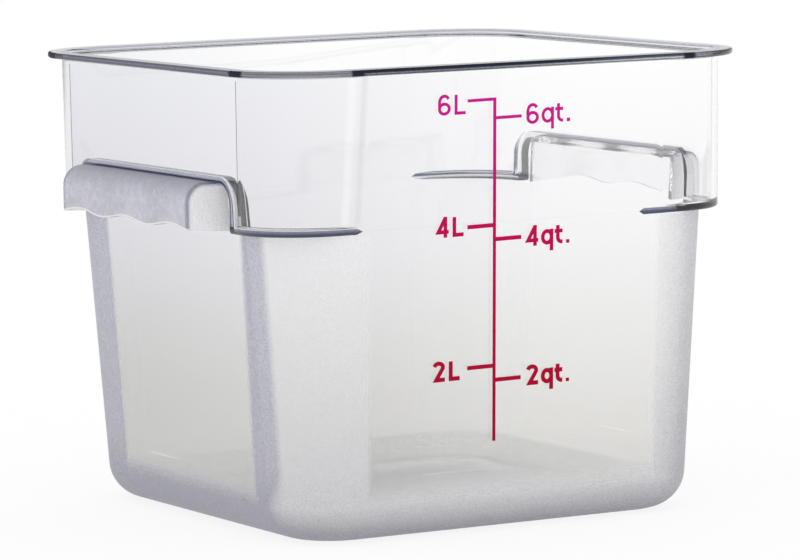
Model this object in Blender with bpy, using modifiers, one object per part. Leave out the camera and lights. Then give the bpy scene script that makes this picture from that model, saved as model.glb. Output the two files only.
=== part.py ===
"""Square clear food storage container, six litres and six quarts, without its lid.

The tub is one clear moulding: a wide smooth band under a flat rim, a tapered body
below it, four corner ledges and two hand grips. A capacity scale is printed on its
front wall. Metres, +Z up, the origin at the middle of the base, the printed wall
towards -Y and the grips towards -X and +X.
"""

import math

import bmesh
import bpy
from mathutils import Vector
from mathutils.geometry import delaunay_2d_cdt

# Overall sizes
HEIGHT = 0.1834
RIM_WIDTH = 0.2220
RIM_CORNER = 0.0371
RIM_THICKNESS = 0.0024
RIM_EDGE = 0.0006
RIM_INNER_EDGE = 0.0008

# Walls and floor
WALL = 0.0026
FLOOR = 0.0028
BASE_FILLET = 0.0140

# Upper band, wider across the grips and flush with the front and back walls; its corner
# radius, given at the rim, closes by a share of the drop below the rim
RIM_OVERHANG_ACROSS = 0.0049
RIM_OVERHANG_FRONT = 0.0067
BAND_HALF_ACROSS = RIM_WIDTH / 2 - RIM_OVERHANG_ACROSS
FRONT_HALF_AT_RIM = RIM_WIDTH / 2 - RIM_OVERHANG_FRONT
BAND_DRAFT = math.radians(0.1)
BAND_CORNER = 0.0317
BAND_CORNER_SHARE = 0.05
BAND_SET_BACK = 0.0001
LEDGE_HEIGHT = 0.1201
LEDGE_EDGE = 0.0011

# Lower body, whose half width across the grips and corner are taken at the ledges
LEDGE_DEPTH = 0.0054
BODY_HALF_ACROSS = BAND_HALF_ACROSS - LEDGE_DEPTH
BODY_DRAFT_ACROSS = math.radians(4.1)
FRONT_DRAFT = math.radians(3.35)
BODY_CORNER = 0.0366

# Recess above each grip's fingers, where the band steps up between the corner ledges
RECESS_HALF = 0.0650
RECESS_RISE = 0.0189
RECESS_TOP = LEDGE_HEIGHT + RECESS_RISE
RECESS_CORNER = 0.0080

# Hand grips, whose lower edge rises from the ledge height at the wall to a little above it
GRIP_REACH = 0.0131
GRIP_OUT = BAND_HALF_ACROSS + GRIP_REACH
GRIP_HALF = 0.0555
GRIP_RISE = 0.0195
GRIP_TOP = LEDGE_HEIGHT + GRIP_RISE
GRIP_EDGE_RISE = 0.0012
GRIP_ROUND = 0.0080
GRIP_END_ROUND = 0.0020
GRIP_WALL = 0.0024
GRIP_ROOT = 0.0080
SCALLOPS = 3
SCALLOP_DEPTH = 0.0020

# Printed scale, measured up the front wall from the base and across from its middle; it
# leans a little, as it was printed
INK_THICKNESS = 0.0002
INK_GAP = 0.0001
INK_LINE = 0.0013
THIN_TICK = 0.0012
BOLD_TICK = 0.0016
PRINT_LEAN = math.radians(0.7)
SPINE_X = -0.0083
SPINE_FOOT = 0.0358
TICK_REACH = 0.0120
DIGIT_HEIGHT = 0.0081
DIGIT_WIDTH = 0.0055
LETTER_L_WIDTH = 0.0048
LETTER_L_HEIGHT = 0.0077
LETTER_Q_WIDTH = 0.0055
LETTER_Q_HEIGHT = 0.0061
LETTER_Q_TAIL = 0.0024
LETTER_T_WIDTH = 0.0035
LETTER_T_HEIGHT = 0.0073
LETTER_T_BAR = 0.0058
STOP_WIDTH = 0.0014
LITRE_L_STEP = 0.0073
QUART_Q_STEP = 0.0068
QUART_T_STEP = 0.0130
QUART_STOP_STEP = 0.0182

# Each scale row: its name and figure, its tick's share of the height, its baseline's drop
# below the tick as a share of a figure's height, its left edge's step from the upright
# line as a share of a tick's reach, and its stroke as a share of a figure's height
LITRE_ROW_SHARES = (
    ("top", "6", 0.9238, 0.645, -2.090, 0.148),
    ("middle", "4", 0.6571, 0.420, -2.158, 0.185),
    ("low", "2", 0.3570, 0.540, -2.292, 0.205),
)
QUART_ROW_SHARES = (
    ("top", "6", 0.8840, 0.450, 1.185, 0.148),
    ("middle", "4", 0.6268, 0.500, 1.183, 0.185),
    ("low", "2", 0.3262, 0.440, 1.200, 0.205),
)

# Proportions of the signs: of their height for hooks, bowls and bars, of their width for
# stems, and of their stroke for the small joins
SIX_HOOK_SHARE = 0.38
SIX_BOWL_SHARE = 0.31
FOUR_STEM_SHARE = 0.74
FOUR_BAR_SHARE = 0.27
FOUR_TOP_JOIN_SHARE = 0.125
FOUR_FOOT_JOIN_SHARE = 0.6
TWO_CROWN_SHARE = 0.29
T_STEM_SHARE = 0.40
T_FOOT_SHARE = 0.25
LEAST_MITRE_SHARE = 0.35

# Where the hooks of the figures start and end, in degrees
SIX_HOOK_START = 32
TWO_HOOK_START = 168
TWO_HOOK_END = -38

# Fineness of the curved faces and the overrun of every cut
CORNER_STEPS = 12
FILLET_STEPS = 7
LEDGE_EDGE_STEPS = 3
GRIP_STEPS = 6
GRIP_END_STEPS = 3
SCALLOP_CIRCLE_STEPS = 200
STROKE_STEPS = 7
OVERRUN = 0.004
MERGE = 0.00001


def clear_scene():
    for existing in list(bpy.data.objects):
        bpy.data.objects.remove(existing)


def make_collection(name):
    collection = bpy.data.collections.new(name)
    bpy.context.scene.collection.children.link(collection)
    return collection


def clear_plastic():
    material = bpy.data.materials.new("clear_polycarbonate")
    material.use_nodes = True
    shader = material.node_tree.nodes["Principled BSDF"]
    shader.inputs["Base Color"].default_value = (0.86, 0.88, 0.92, 1.0)
    shader.inputs["Roughness"].default_value = 0.12
    shader.inputs["Metallic"].default_value = 0.0
    shader.inputs["IOR"].default_value = 1.58
    shader.inputs["Transmission Weight"].default_value = 0.9
    return material


def ink(name, colour):
    material = bpy.data.materials.new(name)
    material.use_nodes = True
    shader = material.node_tree.nodes["Principled BSDF"]
    shader.inputs["Base Color"].default_value = (*colour, 1.0)
    shader.inputs["Roughness"].default_value = 0.45
    shader.inputs["Metallic"].default_value = 0.0
    return material


def body_half_across(height):
    return BODY_HALF_ACROSS - math.tan(BODY_DRAFT_ACROSS) * (LEDGE_HEIGHT - height)


def front_half(height):
    return FRONT_HALF_AT_RIM - math.tan(FRONT_DRAFT) * (HEIGHT - height)


def body_corner(height):
    mean_slope = (math.tan(BODY_DRAFT_ACROSS) + math.tan(FRONT_DRAFT)) / 2
    return BODY_CORNER - mean_slope * (LEDGE_HEIGHT - height)


def band_half_across(height):
    return BAND_HALF_ACROSS - math.tan(BAND_DRAFT) * (HEIGHT - height)


def body_section(height, inset):
    """Half sizes and corner radius of the lower body at a height, drawn in by an inset."""
    return (
        body_half_across(height) - inset,
        front_half(height) - inset,
        body_corner(height) - inset,
        height,
    )


def band_section(height, inset):
    return (
        band_half_across(height) - inset,
        front_half(height) - BAND_SET_BACK - inset,
        BAND_CORNER - BAND_CORNER_SHARE * (HEIGHT - height) - inset,
        height,
    )


def rounded_rectangle(half_x, half_y, radius, height):
    points = []
    for quarter in range(4):
        start = quarter * math.pi / 2
        middle_x = math.copysign(half_x - radius, math.cos(start + math.pi / 4))
        middle_y = math.copysign(half_y - radius, math.sin(start + math.pi / 4))
        for step in range(CORNER_STEPS + 1):
            angle = start + step * math.pi / 2 / CORNER_STEPS
            points.append(Vector((
                middle_x + radius * math.cos(angle),
                middle_y + radius * math.sin(angle),
                height,
            )))
    return points


def loft(name, sections, collection):
    """A closed solid through rounded rectangles that differ in size and corner."""
    mesh_builder = bmesh.new()
    rings = []
    for section in sections:
        rings.append([mesh_builder.verts.new(point) for point in rounded_rectangle(*section)])
    for lower, upper in zip(rings, rings[1:]):
        count = len(lower)
        for index in range(count):
            after = (index + 1) % count
            mesh_builder.faces.new((lower[index], lower[after], upper[after], upper[index]))
    mesh_builder.faces.new(list(reversed(rings[0])))
    mesh_builder.faces.new(rings[-1])
    bmesh.ops.remove_doubles(mesh_builder, verts=mesh_builder.verts, dist=MERGE)
    return finish_mesh(name, mesh_builder, collection)


def finish_mesh(name, mesh_builder, collection):
    bmesh.ops.recalc_face_normals(mesh_builder, faces=mesh_builder.faces)
    mesh = bpy.data.meshes.new(name)
    mesh_builder.to_mesh(mesh)
    mesh_builder.free()
    made = bpy.data.objects.new(name, mesh)
    collection.objects.link(made)
    return made


def hide_guide(guide):
    guide.hide_render = True
    guide.display_type = 'WIRE'
    return guide


def boolean(target, operation, other):
    modifier = target.modifiers.new(other.name, 'BOOLEAN')
    modifier.operation = operation
    modifier.solver = 'EXACT'
    modifier.object = other


def fillet_inset(rise, radius):
    """How far a rounded edge is drawn in at a rise above its foot."""
    if rise >= radius:
        return 0.0
    return radius - math.sqrt(radius ** 2 - (radius - rise) ** 2)


def fillet_rises(radius, steps):
    return [radius * (1 - math.cos(step * math.pi / 2 / steps)) for step in range(steps + 1)]


def body_blank(name, floor, wall, top, collection):
    """The lower body's outer form, or its inner form when a wall is given."""
    radius = BASE_FILLET - wall
    sections = []
    for rise in fillet_rises(radius, FILLET_STEPS):
        height = floor + rise
        sections.append(body_section(height, wall + fillet_inset(rise, radius)))
    sections.append(body_section(top, wall))
    return loft(name, sections, collection)


def band_blank(name, foot, wall, top, collection):
    sections = []
    for rise in fillet_rises(LEDGE_EDGE, LEDGE_EDGE_STEPS):
        sections.append(band_section(foot + rise, wall + fillet_inset(rise, LEDGE_EDGE)))
    sections.append(band_section(top, wall))
    return loft(name, sections, collection)


def rim_plate(collection):
    half = RIM_WIDTH / 2
    under = HEIGHT - RIM_THICKNESS
    shoulder = RIM_EDGE * (1 - math.cos(math.pi / 4))
    levels = (
        (under, RIM_EDGE),
        (under + shoulder, shoulder),
        (under + RIM_EDGE, 0.0),
        (HEIGHT - RIM_EDGE, 0.0),
        (HEIGHT - shoulder, shoulder),
        (HEIGHT, RIM_EDGE),
    )
    sections = [(half - inset, half - inset, RIM_CORNER - inset, level) for level, inset in levels]
    return loft("rim_plate", sections, collection)


def rim_flare(collection):
    """The small sloped edge where the inner wall meets the rim's top face."""
    sections = []
    for rise in (-OVERRUN, OVERRUN):
        height = HEIGHT - RIM_INNER_EDGE + rise
        inset = WALL - rise
        sections.append((
            BAND_HALF_ACROSS - inset,
            FRONT_HALF_AT_RIM - inset,
            BAND_CORNER - inset,
            height,
        ))
    return loft("rim_flare", sections, collection)


def arch_block(name, side, near, far, half, top, corner, foot, collection):
    """A block across one grip side whose two upper corners are rounded."""
    outline = [(-half, foot), (half, foot)]
    for start, middle in ((0.0, half - corner), (math.pi / 2, corner - half)):
        for step in range(GRIP_STEPS + 1):
            angle = start + step * math.pi / 2 / GRIP_STEPS
            outline.append((
                middle + corner * math.cos(angle),
                top - corner + corner * math.sin(angle),
            ))
    return extruded(name, [(side * near, y, z) for y, z in outline],
                    Vector((side * (far - near), 0.0, 0.0)), collection)


def extruded(name, outline, shift, collection):
    mesh_builder = bmesh.new()
    base = mesh_builder.faces.new([mesh_builder.verts.new(point) for point in outline])
    grown = bmesh.ops.extrude_face_region(mesh_builder, geom=[base])
    moved = [item for item in grown["geom"] if isinstance(item, bmesh.types.BMVert)]
    bmesh.ops.translate(mesh_builder, verts=moved, vec=shift)
    return finish_mesh(name, mesh_builder, collection)


def grip_profile(side, inset, root, foot):
    """A grip's outline seen from its end: flat top, rounded shoulder, upright skirt."""
    radius = GRIP_ROUND - inset
    middle_x = GRIP_OUT - GRIP_ROUND
    middle_z = GRIP_TOP - GRIP_ROUND
    outline = [(root, foot), (GRIP_OUT - inset, foot)]
    for step in range(GRIP_STEPS + 1):
        angle = step * math.pi / 2 / GRIP_STEPS
        outline.append((middle_x + radius * math.cos(angle), middle_z + radius * math.sin(angle)))
    outline.append((root, GRIP_TOP - inset))
    return [(side * x, z) for x, z in outline]


def grip_block(name, side, inset, root, foot, collection):
    half = GRIP_HALF - inset
    profile = [(x, -half, z) for x, z in grip_profile(side, inset, root, foot)]
    return extruded(name, profile, Vector((0.0, 2 * half, 0.0)), collection)


def grip_edge(x):
    """The height of a grip's lower edge at a distance from the tub's middle."""
    slope = GRIP_EDGE_RISE / (GRIP_OUT - BODY_HALF_ACROSS)
    return LEDGE_HEIGHT + slope * (x - BODY_HALF_ACROSS)


def skirt_trim(name, side, collection):
    """A block below the grip that gives the skirt its straight lower edge."""
    near = BODY_HALF_ACROSS - GRIP_ROOT - OVERRUN
    far = GRIP_OUT + OVERRUN
    end = GRIP_HALF + OVERRUN
    top = grip_edge(near)
    floor = top - 3 * OVERRUN
    outline = [(-end, top), (end, top), (end, floor), (-end, floor)]
    points = [(side * near, y, z) for y, z in outline]
    shift = Vector((side * (far - near), 0.0, grip_edge(far) - top))
    return extruded(name, points, shift, collection)


def scallop_cutter(name, side, y, collection):
    """A wide cylinder whose crown takes one finger scallop out of a skirt's lower edge."""
    half = GRIP_HALF / SCALLOPS
    radius = (half ** 2 + SCALLOP_DEPTH ** 2) / (2 * SCALLOP_DEPTH)
    reach = GRIP_OUT - BODY_HALF_ACROSS
    middle = (GRIP_OUT + BODY_HALF_ACROSS) / 2
    mesh_builder = bmesh.new()
    bmesh.ops.create_cone(
        mesh_builder, cap_ends=True, segments=SCALLOP_CIRCLE_STEPS,
        radius1=radius, radius2=radius, depth=reach + 4 * OVERRUN,
    )
    cutter = finish_mesh(name, mesh_builder, collection)
    tilt = math.atan(GRIP_EDGE_RISE / reach)
    cutter.rotation_euler = (0.0, math.pi / 2 - side * tilt, 0.0)
    cutter.location = (side * middle, y, grip_edge(middle) + SCALLOP_DEPTH - radius)
    return cutter


def grip_guides(side, word, collection):
    """One grip: an outer block, hollowed from below, with its lower edge scalloped.

    The block runs through the wall, and the tub's own hollow trims it inside.
    """
    root = BODY_HALF_ACROSS - GRIP_ROOT
    foot = LEDGE_HEIGHT - OVERRUN
    outer = grip_block("grip_" + word, side, 0.0, root, foot, collection)
    edge = outer.modifiers.new("end_round", 'BEVEL')
    edge.width = GRIP_END_ROUND
    edge.segments = GRIP_END_STEPS
    edge.limit_method = 'ANGLE'
    edge.angle_limit = math.radians(60)
    hollow = grip_block("grip_hollow_" + word, side, GRIP_WALL, root - OVERRUN,
                        foot - OVERRUN, collection)
    boolean(outer, 'DIFFERENCE', hollow)
    trim = skirt_trim("skirt_trim_" + word, side, collection)
    boolean(outer, 'DIFFERENCE', trim)
    guides = [outer, hollow, trim]
    for index in range(SCALLOPS):
        y = (2 * index - (SCALLOPS - 1)) * GRIP_HALF / SCALLOPS
        cutter = scallop_cutter("scallop_%s_%d" % (word, index), side, y, collection)
        boolean(outer, 'DIFFERENCE', cutter)
        guides.append(cutter)
    for guide in guides:
        hide_guide(guide)
    return outer


def container_body(parts, guides):
    """The whole tub: outer form, rim and grips, less its hollow."""
    body = body_blank("container_body", 0.0, 0.0, HEIGHT - RIM_THICKNESS / 2, parts)
    band = band_blank("band", LEDGE_HEIGHT, 0.0, HEIGHT - RIM_THICKNESS / 2, guides)
    hollow = body_blank("hollow", FLOOR, WALL, HEIGHT + OVERRUN, guides)
    band_hollow = band_blank("band_hollow", LEDGE_HEIGHT + WALL, WALL, HEIGHT + OVERRUN, guides)
    near = BODY_HALF_ACROSS - BAND_CORNER
    far = BAND_HALF_ACROSS + OVERRUN
    for side, word in ((-1, "left"), (1, "right")):
        recess = arch_block("recess_" + word, side, near, far, RECESS_HALF, RECESS_TOP,
                            RECESS_CORNER, LEDGE_HEIGHT - OVERRUN, guides)
        inner_recess = arch_block("inner_recess_" + word, side, near, far, RECESS_HALF + WALL,
                                  RECESS_TOP + WALL, RECESS_CORNER + WALL,
                                  LEDGE_HEIGHT - OVERRUN, guides)
        boolean(band, 'DIFFERENCE', hide_guide(recess))
        boolean(band_hollow, 'DIFFERENCE', hide_guide(inner_recess))
    boolean(body, 'UNION', hide_guide(band))
    boolean(body, 'UNION', hide_guide(rim_plate(guides)))
    for side, word in ((-1, "left"), (1, "right")):
        boolean(body, 'UNION', grip_guides(side, word, guides))
    boolean(body, 'DIFFERENCE', hide_guide(hollow))
    boolean(body, 'DIFFERENCE', hide_guide(band_hollow))
    boolean(body, 'DIFFERENCE', hide_guide(rim_flare(guides)))
    body.data.materials.append(clear_plastic())
    return body


def arc(middle, reach, start, end, steps=STROKE_STEPS):
    """Points on an ellipse between two angles in degrees."""
    points = []
    for step in range(steps + 1):
        angle = math.radians(start + (end - start) * step / steps)
        points.append((middle[0] + reach[0] * math.cos(angle), middle[1] + reach[1] * math.sin(angle)))
    return points


def figure_six(wide, high, width):
    middle = wide / 2
    side = middle - width / 2
    hook_half = high * SIX_HOOK_SHARE
    bowl_half = high * SIX_BOWL_SHARE
    hook = arc((middle, high - hook_half), (side, hook_half - width / 2), SIX_HOOK_START, 180)
    bowl = arc((middle, bowl_half), (side, bowl_half - width / 2), 180, 540, 3 * STROKE_STEPS)
    return [hook + [(width / 2, bowl_half)], bowl]


def figure_four(wide, high, width):
    stem = wide * FOUR_STEM_SHARE
    bar = high * FOUR_BAR_SHARE
    upright = [(stem, 0.0), (stem, high)]
    peak = (stem - width * FOUR_TOP_JOIN_SHARE, high - width / 2)
    slant = [peak, (width * FOUR_FOOT_JOIN_SHARE, bar), (wide, bar)]
    return [upright, slant]


def figure_two(wide, high, width):
    middle = wide / 2
    crown_half = high * TWO_CROWN_SHARE
    reach = (middle - width / 2, crown_half - width / 2)
    crown = (middle, high - crown_half)
    hook = arc(crown, reach, TWO_HOOK_START, TWO_HOOK_END, 2 * STROKE_STEPS)
    return [hook + [(width, width / 2), (wide, width / 2)]]


def letter_l(wide, high, width):
    return [[(width / 2, high), (width / 2, width / 2), (wide, width / 2)]]


def letter_q(wide, high, width):
    reach = (wide / 2 - width / 2, high / 2 - width / 2)
    bowl = arc((wide / 2, high / 2), reach, 0, 360, 3 * STROKE_STEPS)
    stem = wide - width / 2
    return [bowl, [(stem, high), (stem, -LETTER_Q_TAIL)]]


def letter_t(wide, high, width):
    stem = wide * T_STEM_SHARE
    turn = wide - stem - width * T_FOOT_SHARE
    foot = arc((stem + turn, width / 2 + turn), (turn, turn), 180, 270)
    bar = LETTER_T_BAR - width / 2
    return [[(stem, high)] + foot + [(wide, width / 2)], [(0.0, bar), (wide, bar)]]


def full_stop(wide, high, width):
    return [[(0.0, high / 2), (wide, high / 2)]]


def ribbon(path, width):
    """The outline of a stroke of even width along a path, mitred at its corners."""
    closed = math.dist(path[0], path[-1]) < MERGE
    points = [Vector(point) for point in (path[:-1] if closed else path)]
    count = len(points)
    sides = []
    for index, point in enumerate(points):
        before = points[index - 1] if index or closed else None
        after = points[(index + 1) % count] if index < count - 1 or closed else None
        arrive = (point - before).normalized() if before else (after - point).normalized()
        leave = (after - point).normalized() if after else arrive
        across = Vector((-(arrive + leave).y, (arrive + leave).x)).normalized()
        mitre = max(across.dot(Vector((-arrive.y, arrive.x))), LEAST_MITRE_SHARE)
        sides.append((point + across * width / 2 / mitre, point - across * width / 2 / mitre))
    quads = []
    for index in range(count if closed else count - 1):
        start, end = sides[index], sides[(index + 1) % count]
        quads.append((start[0], start[1], end[1], end[0]))
    return quads


def ink_solid(name, strokes, x, height, material, plane, collection):
    """Strokes, each a path with its width, merged into one thin flat solid on the wall."""
    corners = []
    faces = []
    for path, width in strokes:
        for quad in ribbon(path, width):
            faces.append(list(range(len(corners), len(corners) + 4)))
            corners.extend(quad)
    merged = delaunay_2d_cdt(corners, [], faces, 1, MERGE / 10)
    mesh_builder = bmesh.new()
    vertices = [mesh_builder.verts.new((point.x, point.y, 0.0)) for point in merged[0]]
    for triangle, strokes_under in zip(merged[2], merged[5]):
        if strokes_under:
            mesh_builder.faces.new([vertices[index] for index in triangle])
    loose = [vertex for vertex in mesh_builder.verts if not vertex.link_faces]
    bmesh.ops.delete(mesh_builder, geom=loose, context='VERTS')
    grown = bmesh.ops.extrude_face_region(mesh_builder, geom=list(mesh_builder.faces))
    moved = [item for item in grown["geom"] if isinstance(item, bmesh.types.BMVert)]
    bmesh.ops.translate(mesh_builder, verts=moved, vec=(0.0, 0.0, INK_THICKNESS))
    made = finish_mesh(name, mesh_builder, collection)
    made.parent = plane
    made.location = (x, height / math.cos(FRONT_DRAFT), INK_GAP)
    made.data.materials.append(material)
    return made


def print_plane(collection):
    """An empty on the front wall at the base's height, with its Z out of the wall."""
    plane = bpy.data.objects.new("print_plane", None)
    plane.location = (0.0, -front_half(0.0), 0.0)
    plane.rotation_mode = 'ZYX'
    plane.rotation_euler = (math.pi / 2 + FRONT_DRAFT, 0.0, PRINT_LEAN)
    collection.objects.link(plane)
    return plane


def scale_line(plane, material, collection):
    """The upright line of the scale with its three litre and three quart ticks."""
    strokes = []
    for reach, rows in ((-TICK_REACH, LITRE_ROW_SHARES), (TICK_REACH, QUART_ROW_SHARES)):
        for row in rows:
            rise = row[2] * HEIGHT - SPINE_FOOT
            tick = THIN_TICK if row[0] == "top" else BOLD_TICK
            strokes.append(([(0.0, rise), (reach, rise)], tick))
    top = LITRE_ROW_SHARES[0][2] * HEIGHT - SPINE_FOOT + THIN_TICK / 2
    strokes.append(([(0.0, 0.0), (0.0, top)], INK_LINE))
    ink_solid("scale_line", strokes, SPINE_X, SPINE_FOOT, material, plane, collection)


FIGURES = {"6": figure_six, "4": figure_four, "2": figure_two}

# Each sign of a row: its name, drawing, step from the row's left edge, width and height
LITRE_LETTERS = (
    ("litre_letter", letter_l, LITRE_L_STEP, LETTER_L_WIDTH, LETTER_L_HEIGHT),
)
QUART_LETTERS = (
    ("quart_letter_q", letter_q, QUART_Q_STEP, LETTER_Q_WIDTH, LETTER_Q_HEIGHT),
    ("quart_letter_t", letter_t, QUART_T_STEP, LETTER_T_WIDTH, LETTER_T_HEIGHT),
    ("quart_stop", full_stop, QUART_STOP_STEP, STOP_WIDTH, STOP_WIDTH),
)


def scale_signs(plane, inks, collection):
    """The figures and unit letters, each its own patch of ink."""
    units = (
        ("litre_figure", LITRE_ROW_SHARES, LITRE_LETTERS),
        ("quart_figure", QUART_ROW_SHARES, QUART_LETTERS),
    )
    for figure_name, rows, letters in units:
        for word, figure, tick_share, drop_share, step_share, stroke_share in rows:
            baseline = tick_share * HEIGHT - drop_share * DIGIT_HEIGHT
            left = SPINE_X + step_share * TICK_REACH
            signs = ((figure_name, FIGURES[figure], 0.0, DIGIT_WIDTH, DIGIT_HEIGHT),) + letters
            for name, draw, step, wide, high in signs:
                stroke = STOP_WIDTH if draw is full_stop else stroke_share * DIGIT_HEIGHT
                strokes = [(path, stroke) for path in draw(wide, high, stroke)]
                ink_solid("%s_%s" % (name, word), strokes, left + step, baseline,
                          inks[word], plane, collection)


def main():
    clear_scene()
    parts = make_collection("food_storage_container")
    guides = make_collection("cutters_and_blanks")
    container_body(parts, guides)
    plane = print_plane(parts)
    inks = {
        "top": ink("ink_top", (0.55, 0.02, 0.28)),
        "middle": ink("ink_middle", (0.55, 0.01, 0.08)),
        "low": ink("ink_low", (0.38, 0.005, 0.03)),
    }
    scale_line(plane, inks["middle"], parts)
    scale_signs(plane, inks, parts)


main()
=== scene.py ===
import math

import bmesh
import bpy
from mathutils import Matrix, Vector


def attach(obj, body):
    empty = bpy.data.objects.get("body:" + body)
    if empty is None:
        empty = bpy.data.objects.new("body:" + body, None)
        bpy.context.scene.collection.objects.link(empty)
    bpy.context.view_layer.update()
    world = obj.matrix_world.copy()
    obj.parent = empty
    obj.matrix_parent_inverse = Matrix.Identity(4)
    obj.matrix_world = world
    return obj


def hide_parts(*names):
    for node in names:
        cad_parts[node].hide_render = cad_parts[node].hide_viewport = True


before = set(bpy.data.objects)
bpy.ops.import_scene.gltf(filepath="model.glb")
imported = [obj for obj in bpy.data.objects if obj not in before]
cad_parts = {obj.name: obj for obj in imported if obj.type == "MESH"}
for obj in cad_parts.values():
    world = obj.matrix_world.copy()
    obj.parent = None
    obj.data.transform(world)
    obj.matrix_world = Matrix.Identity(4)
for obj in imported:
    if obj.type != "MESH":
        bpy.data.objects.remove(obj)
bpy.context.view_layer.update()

# The photograph's frame, in pixels, and where the camera's axis meets it
PHOTO_WIDTH = 800
PHOTO_HEIGHT = 560
AXIS_PIXEL = (406.35, 292.07)

# The camera, in degrees and metres
CAMERA_AZIMUTH = -29.43
CAMERA_ELEVATION = 6.23
CAMERA_ROLL = -1.053
CAMERA_DISTANCE = 2.0064
CAMERA_SIDE_STEP = 0.0066
TARGET_HEIGHT = 0.0849
SENSOR_MM = 36.0
LENS_PIXELS = 4958.57
CLIP_END = 20.0

# The studio floor's half size, how far it lies under the tub, and the share of it that glows
FLOOR_HALF = 4.0
FLOOR_GAP = 0.0004
FLOOR_GLOW = 0.85

# The tub's sizes in metres and its drafts as slopes, the same as in the solid
HEIGHT = 0.1834
RIM_HALF = 0.1110
RIM_CORNER = 0.0371
RIM_THICKNESS = 0.0024
RIM_EDGE = 0.0009
RIM_INNER_EDGE = 0.0008
WALL = 0.0026
FLOOR = 0.0028
BASE_FILLET = 0.0140
BAND_HALF_ACROSS = 0.1061
FRONT_HALF_AT_RIM = 0.1043
BAND_SLOPE = 0.0017
BAND_CORNER = 0.0317
BAND_CORNER_SHARE = 0.05
BAND_SET_BACK = 0.0001
LEDGE_HEIGHT = 0.1201
LEDGE_EDGE = 0.0011
BODY_HALF_ACROSS = 0.1007
BODY_SLOPE = 0.0717
FRONT_SLOPE = 0.0585
BODY_CORNER = 0.0366
RECESS_HALF = 0.0650
RECESS_TOP = 0.1390
RECESS_CORNER = 0.0080
GRIP_OUT = 0.1192
GRIP_HALF = 0.0555
GRIP_TOP = 0.1396
GRIP_EDGE_RISE = 0.0012
GRIP_ROUND = 0.0080
GRIP_END_ROUND = 0.0020
GRIP_WALL = 0.0024
GRIP_ROOT = 0.0080

# The finger waves along a grip's lower edge, and the shallow flutes above them
WAVE_PITCH = 0.0395
WAVE_DEPTH = 0.0019
FLUTE_DEPTH = 0.0004

# The small hollow round under the flange
UNDER_RIM_ROUND = 0.0009

# Fineness of the curved faces, and the overrun of every cut
CORNER_STEPS = 32
FILLET_STEPS = 14
EDGE_STEPS = 5
GRIP_STEPS = 14
GRIP_STATION = 0.0010
OVERRUN = 0.004

# The angle from which an edge is sharp, in degrees, and the pull of large faces on normals
SHARP_ANGLE = 30
LARGE_FACE_PULL = 100

# The tub's material slots, and what tells a grip's faces from the rest: the gap from the
# band and over the grip, an end's depth, and how far a normal has to turn
WALL_SLOT, SKIRT_SLOT, END_SLOT = range(3)
ZONE_GAP = 0.0003
END_DEPTH = 0.0010
END_TURN = 0.8
SKIRT_TURN = 0.3

# Plain tones
WHITE = (1.0, 1.0, 1.0, 1.0)
BLACK = (0.0, 0.0, 0.0, 1.0)

# From here on, a pair of numbers is where a change starts and where it is full

# The ceiling that sharp rays see, by how steeply they rise, and what reflections alone see
CEILING_RISE = (0.12, 0.60)
CEILING = (0.42, 0.44, 0.52, 1.0)
GLOSS_RISE = (0.02, 0.10)
GLOSS_CEILING = (0.60, 0.60, 0.64, 1.0)
SOFT_BOUNCES = (0.2, 0.8)

# Places on the tub in metres: across its middle, its far half, its two sides, its walls from
# the middle out, the depth inside a wall where its skin ends, and the edge of the flat floor
MIDDLE = (-0.010, 0.010)
FAR = (0.0, 0.020)
LEFT_SIDE = (-0.080, -0.040)
RIGHT_SIDE = (0.0, 0.080)
AT_WALL = (0.080, 0.090)
SKIN = (-0.6 * WALL, -0.4 * WALL)
FLOOR_EDGE = (-0.0010, 0.0010)

# Clear plastic, and the matt layer that frost lays on it: how milky it is seen from outside
# and from within, how rough, how glossy, and the strength and depth of its bumps
REFRACTION = 1.58
POLISHED = 0.02
FROSTED = 0.30
FROSTED_WITHIN = 0.07
MILK_OUTSIDE = 0.65
MILK_WITHIN = 0.12
MATT_ROUGHNESS = 0.6
MATT_GLOSS = 0.3
BUMP_STRENGTH = 0.35
BUMP_DEPTH = 0.0010

# Grains and larger patches to a metre, and the grain that makes a dark speck
GRAIN = 1400.0
PATCHES = 300.0
SPECK_GRAIN = (0.36, 0.60)

# How dark the specks are: on the frost's foot, how much less above it by share of the
# ledge's height, where the frost turns away, on the inside, and on the grips
SPECKS_FOOT = 0.14
SPECKS_LESS_ABOVE = 0.10
SPECKS_ABOVE_SHARES = (0.1, 0.3)
SPECKS_TURNED = 0.22
SPECKS_FOOT_WITHIN = 0.25
SPECKS_FLOOR = 0.12
SPECKS_SKIRT = 0.12
SPECKS_END = 0.04

# Where the frost of the corners ends on the side walls: in front at the ledge, how much
# farther for each metre below, and at the back; then its edge, its foot and its top
FROST_RUN = 0.0012
FROST_RUN_SLOPE = 0.070
TEXTURE_OVERLAP = 0.0120
FROST_EDGE = (-0.0018, 0.0030)
FROST_FOOT = (0.9 * BASE_FILLET, 1.8 * BASE_FILLET)
FROST_TOP = (LEDGE_HEIGHT - 0.0006, LEDGE_HEIGHT - 0.0002)

# How far the frost faces away where its painted grey shade starts, how much sooner at the
# right, and the width of that change at the foot, how much less above it, and at the right
TURN_START = 0.22
TURN_SOONER_RIGHT = 0.12
TURN_WIDTH_FOOT = 0.42
TURN_NARROWER_ABOVE = 0.32
TURN_ABOVE = (0.5 * BASE_FILLET, 2 * BASE_FILLET)
TURN_WIDTH_RIGHT = 0.52
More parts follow.
